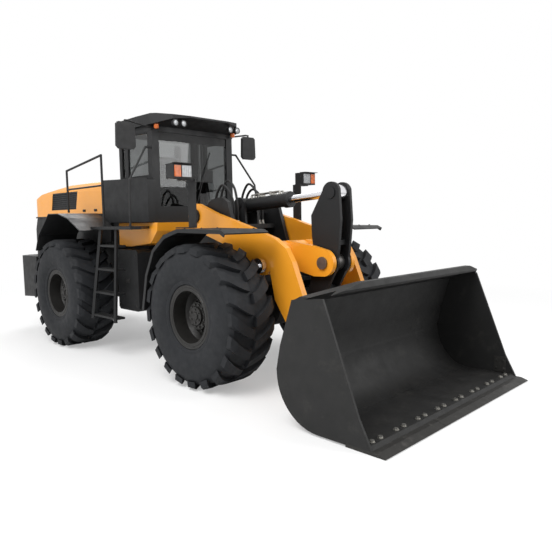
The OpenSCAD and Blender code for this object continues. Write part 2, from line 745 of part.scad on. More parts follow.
module bucket_pins() {
    placed() color([0.4, 0.4, 0.42])
        for (s = [-1, 1]) {
            cyl_y(pin_a, bucket_pin_r, s * 460, s * 715);
            cyl_y(pin_a, 70, s * 696, s * 715);
            cyl_y(pin_a, 125, s * 330, s * 458);
            cyl_y(pin_a, 70, s * 320, s * 460);
        }
}

function bucket_line(g) = concat([[3570 + g, 1260 - g * 0.4], [3410 + g, 800], [3358 + g, 560]],
    arc([3880, 540], 520 - g, 180, 270, 12));

function rev(v) = [for (i = [len(v) - 1:-1:0]) v[i]];

module bucket() {
    floor_front = [[4199.7, 20], [4199.7, edge_t], [4480, edge_t]];
    placed() color([0.16, 0.16, 0.17])
        difference() {
            union() {
                slab_y(-bucket_h, bucket_h)
                    polygon(concat(bucket_line(0), floor_front, [[4440, edge_t + bucket_t]], rev(bucket_line(bucket_t))));
                for (s = [-1, 1]) {
                    slab_y(s * bucket_h, s * (bucket_h - bucket_t))
                        polygon(concat(bucket_line(0), floor_front, [[4350, 280], [3950, 1300]]));
                    for (y = [[465, 530], [630, 695]]) {
                        slab_y(s * y[0], s * y[1])
                            polygon(concat(arc(pin_a, 130, 100, 290, 14), [[3480, 270], [3400, 500], [3422, 760]]));
                    }
                    slab_y(s * 85, s * 135)
                        polygon(concat(arc(pin_e, 110, 80, 250, 12), [[3400, 480], [3422, 760]]));
                }
                slab_y(-bucket_h, bucket_h)
                    polygon([[3565, 1245], [3880, 1400], [3950, 1400], [3968, 1345], [3950, 1318], [3895, 1345], [3600, 1215]]);
            }
            for (s = [-1, 1]) {
                cyl_y(pin_a, bucket_pin_r + run_fit, s * 400, s * 750);
            }
            rotate([90, 0, 90]) translate([0, 0, 3500]) linear_extrude(height = 600)
                polygon([[-1600, 1301], [-1536, 1301], [-870, 1412], [-870, 1430], [1310, 1430], [1310, 1412], [1500, 1352],
                    [1546, 1301], [1600, 1301], [1600, 1500], [-1600, 1500]]);
        }
}

module cutting_edge() {
    placed() color([0.18, 0.18, 0.19])
        for (i = [-1, 0, 1]) {
            slab_y(i * 1030 - 513, i * 1030 + 513)
                polygon([[4200, 0], [bucket_tip_x - 12, 0], [bucket_tip_x, 10], [4540, edge_t], [4200, edge_t]]);
        }
}

// Cylinders
module barrel(len, r, bore, rod_r, eye_r, eye_w, pin_r, gland = 0, $fn = 40) {
    difference() {
        union() {
            translate([eye_r * 0.6, 0, 0]) rotate([0, 90, 0]) cylinder(r = r, h = len - eye_r * 0.6);
            rotate([90, 0, 0]) translate([0, 0, -eye_w / 2]) cylinder(r = eye_r, h = eye_w);
            if (gland > 0) {
                translate([len - 90, 0, 0]) rotate([0, 90, 0]) cylinder(r = gland, h = 90);
            }
        }
        rotate([90, 0, 0]) translate([0, 0, -r - 20]) cylinder(r = pin_r + run_fit, h = 2 * r + 40);
        for (s = [-1, 1]) {
            translate([0, s * (eye_w / 2 + r), 0]) cube([2 * eye_r + 4, 2 * r, 4 * r], center = true);
        }
        translate([eye_r + 40, 0, 0]) rotate([0, 90, 0]) cylinder(r = bore, h = len - eye_r - 100);
        translate([len - 70, 0, 0]) rotate([0, 90, 0]) cylinder(r = rod_r + run_fit, h = 80);
    }
}

module ram(len, back, r, bore, eye_r, eye_w, stub_r, stub_w, $fn = 40) {
    translate([-back, 0, 0]) rotate([0, 90, 0]) cylinder(r = r, h = back - eye_r * 0.7);
    translate([-back, 0, 0]) rotate([0, 90, 0]) cylinder(r = bore - run_fit, h = 50);
    rotate([90, 0, 0]) translate([0, 0, -eye_w / 2]) cylinder(r = eye_r, h = eye_w);
    rotate([90, 0, 0]) translate([0, 0, -stub_w / 2]) cylinder(r = stub_r, h = stub_w);
}

module at_line(p, q, y, at_end) {
    d = q - p;
    o = at_end ? q : p;
    translate([o[0], y, o[1]]) rotate([0, -atan2(d[1], d[0]), 0]) children();
}

module tilt_barrel() {
    placed() color([0.12, 0.12, 0.13]) at_line(tilt_c, pin_t, 0, false) barrel(870, tilt_r, 72, 48, 100, 180, 45, tilt_r + 15);
}

module tilt_rod() {
    placed() color([0.7, 0.7, 0.72]) at_line(tilt_c, pin_t, 0, true) ram(1080, 1080, 48, 72, 100, 150, 45, 158);
}

module lift_barrels() {
    placed() color([0.12, 0.12, 0.13])
        for (s = [-1, 1]) {
            at_line(lift_f, lift_g, s * lift_y, false) barrel(1390, lift_r, 64, 44, 100, 60, lift_pin_r);
        }
}

module lift_rods() {
    placed() color([0.7, 0.7, 0.72])
        for (s = [-1, 1]) {
            at_line(lift_f, lift_g, s * lift_y, true) ram(1360, 1360, 44, 64, 95, 56, 45, 110);
        }
}

module steer_frame(s, at_end) {
    a = [steer_s[0], s * steer_s[1]];
    b = [steer_e[0], s * steer_e[1]];
    d = b - a;
    o = at_end ? b : a;
    translate([o[0], o[1], steer_z]) rotate([0, 0, atan2(d[1], d[0])]) rotate([90, 0, 0]) children();
}

module steer_barrel(s) {
    placed() color([0.12, 0.12, 0.13]) steer_frame(s, false) barrel(700, 54, 40, 25, 50, 80, 25);
}

module steer_rod(s) {
    placed() color([0.7, 0.7, 0.72]) steer_frame(s, true) ram(640, 640, 25, 40, 45, 80, 25, 100);
}

module tyre_rear_left() {
    tyre(-axle_x, 1);
}

module rim_rear_left() {
    rim(-axle_x, 1);
}

module tyre_rear_right() {
    tyre(-axle_x, -1);
}

module rim_rear_right() {
    rim(-axle_x, -1);
}

module tyre_front_left() {
    tyre(axle_x, 1);
}

module rim_front_left() {
    rim(axle_x, 1);
}

module tyre_front_right() {
    tyre(axle_x, -1);
}

module rim_front_right() {
    rim(axle_x, -1);
}

module steer_barrel_left() {
    steer_barrel(1);
}

module steer_rod_left() {
    steer_rod(1);
}

module steer_barrel_right() {
    steer_barrel(-1);
}

module steer_rod_right() {
    steer_rod(-1);
}

rear_frame();
counterweight();
engine_block();
cooling_box();
side_covers();
rear_body();
cab_deck();
cab_shell();
cab_roof();
cab_glass();
cab_door();
door_glass();
operator_seat();
steering_console();
access_steps();
rear_fenders();
handrails();
mirrors();
exhaust_stack();
work_lights();
hood();
hood_grilles();
rear_axle();
tyre_rear_left();
rim_rear_left();
tyre_rear_right();
rim_rear_right();
front_frame();
frame_pins();
front_axle();
front_fenders();
front_lamps();
tyre_front_left();
rim_front_left();
tyre_front_right();
rim_front_right();
boom();
lever_pin();
tilt_lever();
link_pin();
tilt_link();
bucket_pins();
bucket();
cutting_edge();
tilt_barrel();
tilt_rod();
lift_barrels();
lift_rods();
steer_barrel_left();
steer_rod_left();
steer_barrel_right();
steer_rod_right();
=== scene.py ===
"""Looks of an articulated wheel loader: paint, rubber, glass and the fine pieces on a fixed frame."""

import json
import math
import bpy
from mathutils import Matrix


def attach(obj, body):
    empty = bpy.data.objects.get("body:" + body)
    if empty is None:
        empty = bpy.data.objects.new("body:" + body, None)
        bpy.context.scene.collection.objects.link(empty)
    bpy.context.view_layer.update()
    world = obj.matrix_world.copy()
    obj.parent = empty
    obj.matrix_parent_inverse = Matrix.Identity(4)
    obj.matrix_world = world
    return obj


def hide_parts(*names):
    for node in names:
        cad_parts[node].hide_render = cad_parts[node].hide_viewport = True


bl_info = {
    "name": "Wheel Loader Looks",
    "version": (1, 0, 0),
    "blender": (4, 5, 0),
    "location": "3D View > Sidebar > Loader",
    "description": "Finishes, tread, bolts, hoses, lamps and trim for a wheel loader",
    "category": "Object",
}

import bmesh
import bpy
from mathutils import Matrix, Vector

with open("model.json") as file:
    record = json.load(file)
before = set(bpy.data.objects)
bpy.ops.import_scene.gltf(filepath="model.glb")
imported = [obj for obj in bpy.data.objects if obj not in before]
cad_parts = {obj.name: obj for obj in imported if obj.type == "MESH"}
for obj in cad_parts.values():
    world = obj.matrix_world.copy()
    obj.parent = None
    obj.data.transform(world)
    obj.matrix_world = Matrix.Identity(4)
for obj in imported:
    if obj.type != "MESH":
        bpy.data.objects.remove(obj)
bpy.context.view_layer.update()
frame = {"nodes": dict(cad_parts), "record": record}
FINISH = {}

# Lengths are in metres. Places are drawn from the articulation pivot, and SHIFT moves them to the frame's origin.
SHIFT = -0.19
SIDES = (-1, 1)
SHARP_EDGE = math.radians(35)

AXLE_X = 1.775
WHEEL_Y = 1.14
WHEEL_Z = 0.875
TYRE_RADIUS = 0.875
WHEELS = {
    "front_right": (AXLE_X + SHIFT, -1), "front_left": (AXLE_X + SHIFT, 1),
    "rear_right": (-AXLE_X + SHIFT, -1), "rear_left": (-AXLE_X + SHIFT, 1),
}
# (radius, distance out from the tyre's middle) from the inside of the bead up to the tread
TYRE_SIDE = [
    (0.3334, 0.222), (0.3334, 0.269), (0.388, 0.2692), (0.394, 0.292), (0.42, 0.304), (0.44, 0.302),
    (0.455, 0.312), (0.52, 0.333), (0.6, 0.3372), (0.68, 0.332), (0.735, 0.32), (0.775, 0.302),
]
TYRE_INSIDE = 0.78
# How far down a lug's outer end reaches, as a radius, and how much narrower a lug is on top
LUG_END = 0.772
LUG_TAPER = 0.84
# Bolts in the circle, its radius, how far out it stands, and the bolts' size against a wheel bolt
RIM_BOLTS = ((20, 0.2, 0.0538, 1.0), (12, 0.138, 0.15, 0.8), (6, 0.08, 0.185, 0.6))

# Each hose's place across the machine, the height of its arch and how far the arch leans outwards
HOSES = ((-0.2, 2.56, 0.0), (-0.27, 2.5, -0.02), (0.2, 2.53, 0.0), (0.27, 2.46, 0.02))
# x and z of the tilt cylinder's two pins
TILT_FOOT = (1.27, 2.22)
TILT_HEAD = (2.898, 2.325)
# Name, body, x, z, the pin's end across the machine, and its radius
PLATES = (
    ("boom_pin", "front_frame", 0.92, 2.08, 0.65, 0.095),
    ("lift_foot", "front_frame", 0.8, 0.85, 0.735, 0.07),
    ("lift_head", "lift_rods", 2.23, 1.46, 0.74, 0.045),
)

# The bucket's back is straight down to a bend, which is given by its centre's x and z and its radius
BUCKET_STRAIGHT = [(3.57, 1.26), (3.41, 0.8), (3.358, 0.56)]
BUCKET_BEND = (3.88, 0.54, 0.52)
BUCKET_WALL = 0.0255
BUCKET_INSIDE = 1.5205
# The liner's thickness at each point of the bucket's back
LINER = [0.002, 0.022, 0.03] + [0.034] * 9 + [
    0.032, 0.03, 0.027, 0.023, 0.018, 0.014, 0.01, 0.007, 0.005, 0.003, 0.0025, 0.002]
GUARD_GUSSET = [(3.76, 1.27), (3.95, 1.285), (3.952, 1.319), (3.93, 1.3275), (3.87, 1.328), (3.8, 1.3025)]

# Faces that small pieces stand on, and the screens' outlines from the side
ROOF_FRONT = 0.4652
HOOD_SIDE = 0.78
SIDE_SCREEN = [(-3.315, 2.24), (-2.285, 2.24), (-2.205, 2.57), (-3.235, 2.57)]
TAIL_SCREEN = [(-4.0925, 2.19), (-4.0645, 2.4), (-4.0615, 2.4), (-4.0895, 2.19)]
SIDE_BOX = 0.95
PLATFORM_TOP = 1.9498
# Name and the two corners of each cushion, and how much the back leans for its height
CUSHIONS = (
    ("seat_cushion", (-0.6, -0.22, 2.422), (-0.13, 0.22, 2.5)),
    ("back_cushion", (-0.6, -0.21, 2.52), (-0.53, 0.21, 3.02)),
)
BACK_LEAN = 0.14

# The camera's heading, pitch and roll in degrees, and the lamps' name, place, width and power
CAMERA_TURN = (134.7095, -5.7801, -0.9169)
LAMPS = (
    ("key", (3.0, -7.0, 9.0), 6.0, 900.0),
    ("fill", (10.0, 4.0, 6.0), 6.0, 450.0),
    ("rim_light", (-8.0, 3.0, 8.0), 5.0, 350.0),
)
LAMPS_AIM = (0.3, 0, 1.2)
SKY_LIGHT = 0.75
WHITE = (1, 1, 1, 1)


class LoaderPaint(bpy.types.PropertyGroup):
    orange: bpy.props.FloatVectorProperty(
        name="Orange", description="Colour of the boom, hood and deck",
        subtype="COLOR", default=(0.83, 0.33, 0.02), min=0, max=1)
    black: bpy.props.FloatVectorProperty(
        name="Black", description="Colour of the frames, cab and covers",
        subtype="COLOR", default=(0.011, 0.0113, 0.012), min=0, max=1)
    bucket: bpy.props.FloatVectorProperty(
        name="Bucket", description="Colour of the bucket",
        subtype="COLOR", default=(0.013, 0.013, 0.0128), min=0, max=1)
    rubber: bpy.props.FloatVectorProperty(
        name="Rubber", description="Colour of the tyres",
        subtype="COLOR", default=(0.011, 0.0122, 0.0145), min=0, max=1)
    rim: bpy.props.FloatVectorProperty(
        name="Rim", description="Colour of the rims",
        subtype="COLOR", default=(0.014, 0.0132, 0.012), min=0, max=1)


class LoaderTread(bpy.types.PropertyGroup):
    lugs: bpy.props.IntProperty(
        name="Lugs", description="Lugs on each side of a tyre", default=20, min=12, max=30)
    depth: bpy.props.FloatProperty(
        name="Depth", description="Height of a lug over the tread base",
        default=0.055, min=0.02, max=0.08, subtype="DISTANCE", unit="LENGTH")
    sweep: bpy.props.FloatProperty(
        name="Sweep", description="How far a lug leans back from the centre to the shoulder",
        default=0.24, min=0.0, max=0.5, subtype="ANGLE", unit="ROTATION")


class LoaderTrim(bpy.types.PropertyGroup):
    wheel_bolt: bpy.props.FloatProperty(
        name="Wheel bolt", description="Radius of a wheel bolt's head",
        default=0.0175, min=0.01, max=0.03, subtype="DISTANCE", unit="LENGTH")
    cover_bolt: bpy.props.FloatProperty(
        name="Cover bolt", description="Radius of the bolts' heads on covers and fenders",
        default=0.011, min=0.005, max=0.02, subtype="DISTANCE", unit="LENGTH")
    edge_bolts: bpy.props.IntProperty(
        name="Edge bolts", description="Pairs of bolts along the cutting edge", default=8, min=4, max=30)
    hose: bpy.props.FloatProperty(
        name="Hose", description="Radius of a hydraulic hose",
        default=0.017, min=0.008, max=0.03, subtype="DISTANCE", unit="LENGTH")
    stud: bpy.props.FloatProperty(
        name="Grip stud", description="Radius of a grip stud on a step",
        default=0.008, min=0.003, max=0.015, subtype="DISTANCE", unit="LENGTH")


class LoaderView(bpy.types.PropertyGroup):
    place: bpy.props.FloatVectorProperty(
        name="Camera place", description="Where the camera stands",
        default=(7.1389 + SHIFT, -5.3514, 2.0171), subtype="TRANSLATION", unit="LENGTH")
    lens: bpy.props.FloatProperty(
        name="Lens", description="Focal length in millimetres on a 36 mm sensor", default=36.42, min=10, max=200)
    ground: bpy.props.FloatVectorProperty(
        name="Ground", description="Colour of the floor",
        subtype="COLOR", default=(0.86, 0.86, 0.86), min=0, max=1)


def link(tree, a, b):
    tree.links.new(a, b)


def noise(tree, vec, scale, detail=3.0, rough=0.55):
    n = tree.nodes.new("ShaderNodeTexNoise")
    n.inputs["Scale"].default_value = scale
    n.inputs["Detail"].default_value = detail
    n.inputs["Roughness"].default_value = rough
    link(tree, vec, n.inputs["Vector"])
    return n.outputs["Fac"]


def spread(tree, value, lo, hi, to_lo, to_hi):
    """Stretches the values from lo to hi over the range from to_lo to to_hi."""
    n = tree.nodes.new("ShaderNodeMapRange")
    for key, v in (("From Min", lo), ("From Max", hi), ("To Min", to_lo), ("To Max", to_hi)):
        n.inputs[key].default_value = v
    link(tree, value, n.inputs["Value"])
    return n.outputs["Result"]


def combine(tree, how, a, b):
    n = tree.nodes.new("ShaderNodeMath")
    n.operation = how
    link(tree, a, n.inputs[0])
    link(tree, b, n.inputs[1])
    return n.outputs["Value"]


def blend_colour(tree, fac, a, b):
    n = tree.nodes.new("ShaderNodeMix")
    n.data_type = "RGBA"
    link(tree, fac, n.inputs["Factor"])
    for socket, v in ((n.inputs[6], a), (n.inputs[7], b)):
        if isinstance(v, tuple):
            socket.default_value = (*v, 1.0)
        else:
            link(tree, v, socket)
    return n.outputs[2]


def blend_shaders(tree, fac, a, b):
    n = tree.nodes.new("ShaderNodeMixShader")
    link(tree, fac, n.inputs["Fac"])
    link(tree, a, n.inputs[1])
    link(tree, b, n.inputs[2])
    return n.outputs["Shader"]


def shade(colour, k):
    return tuple(min(1.0, c * k) for c in colour)


def surface(name, colour, tone, patch, rough, grain, bump=0.0, metal=0.0, coat=0.0, dust=0.0, shine=0.5, worn=None):
    """A procedural finish: cloudy tone, fine grain, uneven roughness, dust on upward faces, worn streaks.

    tone is how dark the clouds are against the colour, patch and grain are pattern scales per metre,
    rough is a range, bump is a height in metres, and worn is the streaks' colour, scale and strength.
    """
    m = bpy.data.materials.new(name)
    m.use_nodes = True
    t = m.node_tree
    t.nodes.clear()
    out = t.nodes.new("ShaderNodeOutputMaterial")
    p = t.nodes.new("ShaderNodeBsdfPrincipled")
    link(t, p.outputs["BSDF"], out.inputs["Surface"])
    vec = t.nodes.new("ShaderNodeTexCoord").outputs["Object"]
    cloud = spread(t, noise(t, vec, patch, 5.0), 0.35, 0.65, 0.0, 1.0)
    c = blend_colour(t, cloud, shade(colour, tone), tuple(colour))
    if worn:
        wear, scale, strength = worn
        c = blend_colour(t, spread(t, noise(t, vec, scale, 8.0, 0.7), 0.56, 0.68, 0.0, strength), c, wear)
    if dust:
        split = t.nodes.new("ShaderNodeSeparateXYZ")
        link(t, t.nodes.new("ShaderNodeNewGeometry").outputs["Normal"], split.inputs["Vector"])
        up = spread(t, split.outputs["Z"], 0.2, 1.0, 0.0, dust)
        fine = spread(t, noise(t, vec, patch * 4.0, 6.0), 0.4, 0.7, 0.2, 1.0)
        c = blend_colour(t, combine(t, "MULTIPLY", up, fine), c, (0.32, 0.29, 0.25))
    link(t, c, p.inputs["Base Color"])
    link(t, spread(t, noise(t, vec, patch * 6.0, 4.0), 0.3, 0.7, *rough), p.inputs["Roughness"])
    if bump:
        b = t.nodes.new("ShaderNodeBump")
        b.inputs["Strength"].default_value = 0.5
        b.inputs["Distance"].default_value = bump
        link(t, noise(t, vec, grain, 3.0), b.inputs["Height"])
        link(t, b.outputs["Normal"], p.inputs["Normal"])
    p.inputs["Metallic"].default_value = metal
    p.inputs["Specular IOR Level"].default_value = shine
    p.inputs["Coat Weight"].default_value = coat
    p.inputs["Coat Roughness"].default_value = 0.12
    return m


def glass(name, colour):
    """Clear tinted glass with a faint uneven film."""
    m = bpy.data.materials.new(name)
    m.use_nodes = True
    t = m.node_tree
    p = t.nodes["Principled BSDF"]
    vec = t.nodes.new("ShaderNodeTexCoord").outputs["Object"]
    film = spread(t, noise(t, vec, 2.0, 4.0), 0.3, 0.7, 0.0, 1.0)
    link(t, blend_colour(t, film, shade(colour, 0.9), tuple(colour)), p.inputs["Base Color"])
    p.inputs["Roughness"].default_value = 0.02
    p.inputs["IOR"].default_value = 1.45
    p.inputs["Transmission Weight"].default_value = 1.0
    return m


def make_finishes(paint):
    orange, black, bucket = tuple(paint.orange), tuple(paint.black), tuple(paint.bucket)
    rubber, rim = tuple(paint.rubber), tuple(paint.rim)
    FINISH.update({
        "body_orange": surface("orange_paint", orange, 0.93, 1.2, (0.28, 0.4), 260, 0.0002, coat=0.35, dust=0.04),
        "body_black": surface("black_paint", black, 0.8, 1.4, (0.42, 0.58), 220, 0.0004, dust=0.025, shine=0.3),
        "bucket_grey": surface("bucket_paint", bucket, 0.8, 0.9, (0.5, 0.68), 160, 0.0005, dust=0.015, shine=0.28,
                               worn=((0.028, 0.027, 0.025), 5.0, 0.5)),
        "wear_steel": surface("wear_steel", (0.03, 0.029, 0.027), 0.7, 3.0, (0.48, 0.64), 140, 0.0006, metal=0.3,
                              shine=0.35, worn=((0.08, 0.075, 0.07), 9.0, 0.6)),
        "pin_steel": surface("pin_steel", (0.2, 0.19, 0.18), 0.8, 8.0, (0.35, 0.5), 200, 0.0003, metal=0.8),
        "chrome_rod": surface("chrome_rod", (0.78, 0.78, 0.8), 0.95, 4.0, (0.1, 0.18), 300, metal=1.0),
        "tyre_rubber": surface("tyre_rubber", rubber, 0.78, 2.2, (0.62, 0.8), 150, 0.0012, dust=0.015, shine=0.3),
        "rim_paint": surface("rim_paint", rim, 0.8, 3.0, (0.42, 0.56), 200, 0.0005, shine=0.35),
        "tinted_glass": glass("tinted_glass", (0.3, 0.31, 0.31)),
        "trim_plastic": surface("trim_plastic", (0.011, 0.011, 0.0115), 0.85, 2.0, (0.5, 0.65), 420, 0.0004,
                                shine=0.35),
        "seat_cloth": surface("seat_cloth", (0.02, 0.02, 0.022), 0.7, 6.0, (0.8, 0.95), 700, 0.001),
        "cast_parts": surface("cast_parts", (0.016, 0.0155, 0.015), 0.75, 2.0, (0.55, 0.75), 90, 0.0015, dust=0.03,
                              shine=0.3),
        "hose_rubber": surface("hose_rubber", (0.009, 0.009, 0.0095), 0.8, 6.0, (0.45, 0.6), 500, 0.0005, shine=0.4),
        "bolt_zinc": surface("bolt_zinc", (0.42, 0.41, 0.38), 0.75, 20.0, (0.3, 0.45), 600, 0.0002, metal=0.9),
        "bolt_dark": surface("bolt_dark", (0.05, 0.049, 0.047), 0.75, 20.0, (0.35, 0.5), 500, 0.0002, metal=0.6),
        "lamp_clear": surface("lamp_clear", (0.34, 0.35, 0.36), 0.8, 30.0, (0.12, 0.25), 90, 0.002, metal=0.2,
                              coat=0.4),
        "lamp_amber": surface("lamp_amber", (0.62, 0.13, 0.012), 0.75, 30.0, (0.12, 0.28), 90, 0.002, coat=0.4),
        "mirror_face": surface("mirror_face", (0.85, 0.86, 0.88), 0.97, 2.0, (0.03, 0.06), 300, metal=1.0),
    })


def finish_piece(bm, name, body, finish, smooth=True, bevel=0.0):
    """Turns a bmesh into a finished object that rides on a body."""
    bmesh.ops.recalc_face_normals(bm, faces=bm.faces)
    mesh = bpy.data.meshes.new(name)
    bm.to_mesh(mesh)
    bm.free()
    ob = bpy.data.objects.new(name, mesh)
    bpy.context.scene.collection.objects.link(ob)
    mesh.materials.append(FINISH[finish])
    if bevel:
        mod = ob.modifiers.new("edge", "BEVEL")
        mod.width = bevel
        mod.segments = 2
        mod.limit_method = "ANGLE"
    if smooth:
        mesh.shade_smooth()
        mesh.set_sharp_from_angle(angle=SHARP_EDGE)
    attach(ob, body)
    return ob


def at(x, y, z):
    """A point drawn from the articulation pivot, moved to the frame's origin."""
    return Vector((x + SHIFT, y, z))


def turn_to(axis):
    """The turn that lays the Z axis along another one."""
    return Vector((0, 0, 1)).rotation_difference(Vector(axis).normalized()).to_matrix().to_4x4()


def join(bm, part):
    mesh = bpy.data.meshes.new("part")
    part.to_mesh(mesh)
    part.free()
    bm.from_mesh(mesh)
    bpy.data.meshes.remove(mesh)


def add_box(bm, lo, hi):
    lo, hi = Vector(map(min, lo, hi)), Vector(map(max, lo, hi))
    made = bmesh.ops.create_cube(bm, size=1.0)
    bmesh.ops.scale(bm, vec=hi - lo, verts=made["verts"])
    bmesh.ops.translate(bm, vec=(lo + hi) / 2, verts=made["verts"])


def add_rod(bm, a, b, r, sides=16):
    a, b = Vector(a), Vector(b)
    made = bmesh.ops.create_cone(bm, cap_ends=True, segments=sides, radius1=r, radius2=r, depth=(b - a).length)
    bmesh.ops.transform(bm, matrix=Matrix.Translation((a + b) / 2) @ turn_to(b - a), verts=made["verts"])


def add_bolt(bm, foot, axis, r, h):
    """A hexagon head on a washer, standing out along axis."""
    axis = Vector(axis).normalized()
    foot = Vector(foot)
    add_rod(bm, foot, foot + axis * h * 0.25, r * 1.35, 16)
    add_rod(bm, foot + axis * h * 0.25, foot + axis * h, r, 6)


def turned(bm, profile, steps, axis=(0, 1, 0), place=(0, 0, 0)):
    """Spins a closed profile of (radius, height) pairs round the axis that it stands on."""
    part = bmesh.new()
    ring = [part.verts.new((r, 0, h)) for r, h in profile]
    edges = []
    for k in range(len(ring)):
        n = (k + 1) % len(ring)
        if profile[k][0] or profile[n][0]:
            edges.append(part.edges.new((ring[k], ring[n])))
    bmesh.ops.spin(part, geom=ring + edges, cent=(0, 0, 0), axis=(0, 0, 1), angle=math.tau, steps=steps,
                   use_merge=True)
    bmesh.ops.remove_doubles(part, verts=part.verts, dist=1e-6)
    bmesh.ops.recalc_face_normals(part, faces=part.faces)
    bmesh.ops.transform(part, matrix=Matrix.Translation(place) @ turn_to(axis), verts=part.verts)
    join(bm, part)


def add_prism(bm, outline, y0, y1):
    """A side view of (x, z) points, drawn from the articulation pivot and pulled out across the machine."""
    part = bmesh.new()
    face = part.faces.new([part.verts.new(at(x, y0, z)) for x, z in outline])
    out = bmesh.ops.extrude_face_region(part, geom=[face])
    pulled = [g for g in out["geom"] if isinstance(g, bmesh.types.BMVert)]
    bmesh.ops.translate(part, vec=(0, y1 - y0, 0), verts=pulled)
    bmesh.ops.recalc_face_normals(part, faces=part.faces)
    join(bm, part)


def smooth_line(knots, n):
    """Points on a smooth line through the knots, n to a stretch."""
    ends = [2 * knots[0] - knots[1]] + list(knots) + [2 * knots[-1] - knots[-2]]
    line = []
    for a, b, c, d in zip(ends, ends[1:], ends[2:], ends[3:]):
        for k in range(n):
            t = k / n
            straight = 2 * b + (c - a) * t
            line.append(0.5 * (straight + (2 * a - 5 * b + 4 * c - d) * t * t + (3 * b - a - 3 * c + d) * t ** 3))
    return line + [knots[-1].copy()]


def add_tube(bm, line, r, sides=12):
    """A round tube of radius r along a line, closed at its ends."""
    curve = bpy.data.curves.new("line", "CURVE")
    curve.dimensions = "3D"
    curve.bevel_depth = r
    curve.bevel_resolution = max(0, sides // 4 - 1)
    curve.use_fill_caps = True
    spline = curve.splines.new("POLY")
    spline.points.add(len(line) - 1)
    for p, v in zip(spline.points, line):
        p.co = (*v, 1.0)
    ob = bpy.data.objects.new("line", curve)
    mesh = bpy.data.meshes.new_from_object(ob)
    bm.from_mesh(mesh)
    bpy.data.objects.remove(ob)
    bpy.data.curves.remove(curve)
    bpy.data.meshes.remove(mesh)


def add_frame(bm, lo, hi, y0, y1, w):
    """Four strips round an opening in a side wall; lo and hi are its (x, z) corners."""
    add_box(bm, at(lo[0], y0, lo[1]), at(hi[0], y1, lo[1] + w))
    add_box(bm, at(lo[0], y0, hi[1] - w), at(hi[0], y1, hi[1]))
    add_box(bm, at(lo[0], y0, lo[1] + w), at(lo[0] + w, y1, hi[1] - w))
    add_box(bm, at(hi[0] - w, y0, lo[1] + w), at(hi[0], y1, hi[1] - w))


def add_stud(bm, place, r):
    """A low round grip stud that narrows upwards."""
    made = bmesh.ops.create_cone(bm, cap_ends=True, segments=8, radius1=r, radius2=r * 0.7, depth=0.004)
    bmesh.ops.translate(bm, vec=place + Vector((0, 0, 0.002)), verts=made["verts"])


def bucket_curve(gaps):
    """The bucket's back from its top down to the floor, set in from the outside by a gap at each point."""
    x0, z0, radius = BUCKET_BEND
    arc = [math.radians(180 + 82 * k / 20) for k in range(21)]
    points = [(x + g, z - 0.4 * g if z > 1.2 else z) for (x, z), g in zip(BUCKET_STRAIGHT, gaps)]
    return points + [(x0 + (radius - g) * math.cos(a), z0 + (radius - g) * math.sin(a)) for a, g in zip(arc, gaps[3:])]


def make_floor(scene, ground):
    """A pale floor that the camera sees fade to white away from the machine."""
    bm = bmesh.new()
    bmesh.ops.create_grid(bm, x_segments=1, y_segments=1, size=60.0)
    mesh = bpy.data.meshes.new("studio_floor")
    bm.to_mesh(mesh)
    bm.free()
    floor = bpy.data.objects.new("studio_floor", mesh)
    scene.collection.objects.link(floor)
    floor.location.z = -0.001
    m = bpy.data.materials.new("floor_white")
    m.use_nodes = True
    t = m.node_tree
    p = t.nodes["Principled BSDF"]
    p.inputs["Base Color"].default_value = (*ground, 1.0)
    p.inputs["Roughness"].default_value = 0.9
    away = t.nodes.new("ShaderNodeVectorMath")
    away.operation = "LENGTH"
    link(t, t.nodes.new("ShaderNodeTexCoord").outputs["Object"], away.inputs[0])
    white = t.nodes.new("ShaderNodeEmission")
    white.inputs["Color"].default_value = WHITE
    white.inputs["Strength"].default_value = 1.0
    seen = t.nodes.new("ShaderNodeLightPath").outputs["Is Camera Ray"]
    share = combine(t, "MULTIPLY", seen, spread(t, away.outputs["Value"], 4.0, 11.0, 0.35, 1.0))
    mixed = blend_shaders(t, share, p.outputs["BSDF"], white.outputs["Emission"])
    link(t, mixed, t.nodes["Material Output"].inputs["Surface"])
    mesh.materials.append(m)


def make_sky(scene):
    """Soft white light, and plain white where the camera, glass or gloss shows the sky."""
    world = bpy.data.worlds.new("studio")
    scene.world = world
    world.use_nodes = True
    t = world.node_tree
    t.nodes.clear()
    out = t.nodes.new("ShaderNodeOutputWorld")
    tones = []
    for strength in (SKY_LIGHT, 1.0):
        tone = t.nodes.new("ShaderNodeBackground")
        tone.inputs["Color"].default_value = WHITE
        tone.inputs["Strength"].default_value = strength
        tones.append(tone.outputs["Background"])
    ray = t.nodes.new("ShaderNodeLightPath").outputs
    seen = combine(t, "MAXIMUM", ray["Is Camera Ray"], ray["Is Transmission Ray"])
    seen = combine(t, "MAXIMUM", seen, ray["Is Glossy Ray"])
    link(t, blend_shaders(t, seen, *tones), out.inputs["Surface"])


def make_lamps(scene):
    for name, place, width, power in LAMPS:
        lamp = bpy.data.lights.new(name, "AREA")
        lamp.energy = power
        lamp.size = width
        ob = bpy.data.objects.new(name, lamp)
        scene.collection.objects.link(ob)
        ob.location = place
        ob.rotation_euler = (Vector(LAMPS_AIM) - Vector(place)).to_track_quat("-Z", "Y").to_euler()


